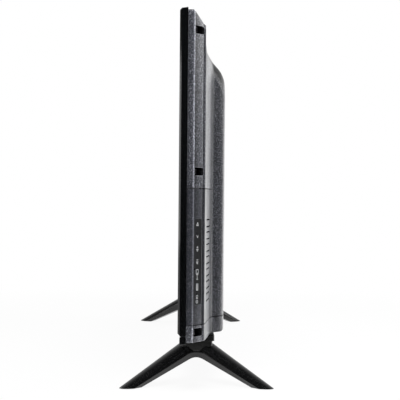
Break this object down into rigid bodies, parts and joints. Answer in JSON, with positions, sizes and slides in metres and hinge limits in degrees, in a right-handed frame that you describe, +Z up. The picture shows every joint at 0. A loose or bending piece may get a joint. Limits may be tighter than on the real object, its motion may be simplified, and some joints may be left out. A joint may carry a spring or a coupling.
{
  "type": "flat screen television",
  "caption": "Flat screen television with a framed screen, moulded back, side keys, plug bays, wall mount threads and splayed V feet.",
  "frame": {"origin": "on the surface it stands on, under the middle of the set's outline box", "axes": "+X towards the side with the keys, -Y out of the screen, +Z up"},
  "size_m": [0.732, 0.2058, 0.499],
  "materials": {
    "gloss_black": "polished moulding",
    "smoked_window": "smoked clear plastic",
    "circuit_board": "solder lacquer",
    "screen_glass": "dark screen with a low sheen",
    "milky_sheet": "diffusing",
    "black_moulding": "fine matt",
    "zinc_steel": "zinc plated",
    "white_sheet": "white film",
    "white_strip": "white lacquer",
    "clear_lens": "clear",
    "amber_film": "amber film",
    "grained_cover": "fine moulded grain",
    "satin_insert": "satin moulding",
    "label_strip": "smooth with pale marks",
    "chip_black": "moulded",
    "black_screw": "blackened steel",
    "capacitor_sleeve": "shrunk sleeve",
    "ferrite": "sintered",
    "nickel_shell": "nickel plated",
    "foot_black": "satin gloss moulding",
    "pad_rubber": "matt",
    "lead_sleeve": "flexible sleeve",
    "paper_cone": "pressed paper"
  },
  "bodies": {
    "cabinet": {"ac_inlet": "black_moulding", "aerial_socket": "nickel_shell", "audio_jacks": "black_moulding", "backlight_tray": "zinc_steel", "board_screws": "zinc_steel", "bottom_trim": "gloss_black", "control_panel": "satin_insert", "cover_screws": "black_screw", "diffuser_plate": "milky_sheet", "driver_board": "circuit_board", "foot_brackets": "zinc_steel", "foot_pads": "pad_rubber", "foot_screws": "black_screw", "front_bezel": "gloss_black", "hdmi_sockets": "nickel_shell", "infrared_board": "circuit_board", "infrared_window": "smoked_window", "inner_leads": "lead_sleeve", "key_board": "circuit_board", "key_label_strip": "label_strip", "key_switches": "chip_black", "lcd_panel": "screen_glass", "led_lenses": "clear_lens", "led_strips": "white_strip", "left_foot": "foot_black", "left_speaker_frame": "black_moulding", "left_speaker_magnet": "ferrite", "lower_cover": "grained_cover", "main_board": "circuit_board", "main_board_chips": "chip_black", "optical_sheets": "milky_sheet", "panel_films": "amber_film", "panel_frame": "black_moulding", "power_board": "circuit_board", "power_capacitors": "capacitor_sleeve", "power_transformer": "ferrite", "rear_cover": "grained_cover", "reflector_sheet": "white_sheet", "right_foot": "foot_black", "right_speaker_frame": "black_moulding", "right_speaker_magnet": "ferrite", "socket_plate": "black_moulding", "usb_sockets": "nickel_shell", "wall_mount_bosses": "zinc_steel"},
    "key_power": {"key_power": "satin_insert"},
    "key_menu": {"key_menu": "satin_insert"},
    "key_source": {"key_source": "satin_insert"},
    "key_volume_down": {"key_volume_down": "satin_insert"},
    "key_volume_up": {"key_volume_up": "satin_insert"},
    "key_channel_down": {"key_channel_down": "satin_insert"},
    "key_channel_up": {"key_channel_up": "satin_insert"},
    "left_cone": {"left_speaker_cone": "paper_cone"},
    "right_cone": {"right_speaker_cone": "paper_cone"}
  },
  "joints": [
    {"name": "key_power_press", "type": "hinge", "parent": "cabinet", "child": "key_power", "pos_m": [0.331, 0.01, 0.1218], "axis": [0, 0, 1], "range_deg": [0, 2], "stiffness_Nm_per_rad": 1.5},
    {"name": "key_menu_press", "type": "hinge", "parent": "cabinet", "child": "key_menu", "pos_m": [0.331, 0.01, 0.13817], "axis": [0, 0, 1], "range_deg": [0, 2], "stiffness_Nm_per_rad": 1.5},
    {"name": "key_source_press", "type": "hinge", "parent": "cabinet", "child": "key_source", "pos_m": [0.331, 0.01, 0.15454], "axis": [0, 0, 1], "range_deg": [0, 2], "stiffness_Nm_per_rad": 1.5},
    {"name": "key_volume_down_press", "type": "hinge", "parent": "cabinet", "child": "key_volume_down", "pos_m": [0.331, 0.01, 0.17091], "axis": [0, 0, 1], "range_deg": [0, 2], "stiffness_Nm_per_rad": 1.5},
    {"name": "key_volume_up_press", "type": "hinge", "parent": "cabinet", "child": "key_volume_up", "pos_m": [0.331, 0.01, 0.18728], "axis": [0, 0, 1], "range_deg": [0, 2], "stiffness_Nm_per_rad": 1.5},
    {"name": "key_channel_down_press", "type": "hinge", "parent": "cabinet", "child": "key_channel_down", "pos_m": [0.331, 0.01, 0.20365], "axis": [0, 0, 1], "range_deg": [0, 2], "stiffness_Nm_per_rad": 1.5},
    {"name": "key_channel_up_press", "type": "hinge", "parent": "cabinet", "child": "key_channel_up", "pos_m": [0.331, 0.01, 0.22002], "axis": [0, 0, 1], "range_deg": [0, 2], "stiffness_Nm_per_rad": 1.5},
    {"name": "left_cone_throw", "type": "slide", "parent": "cabinet", "child": "left_cone", "axis": [0, 0, 1], "range_m": [-0.0005, 0.0005], "stiffness_N_per_m": 800},
    {"name": "right_cone_throw", "type": "slide", "parent": "cabinet", "child": "right_cone", "axis": [0, 0, 1], "range_m": [-0.0005, 0.0005], "stiffness_N_per_m": 800}
  ]
}
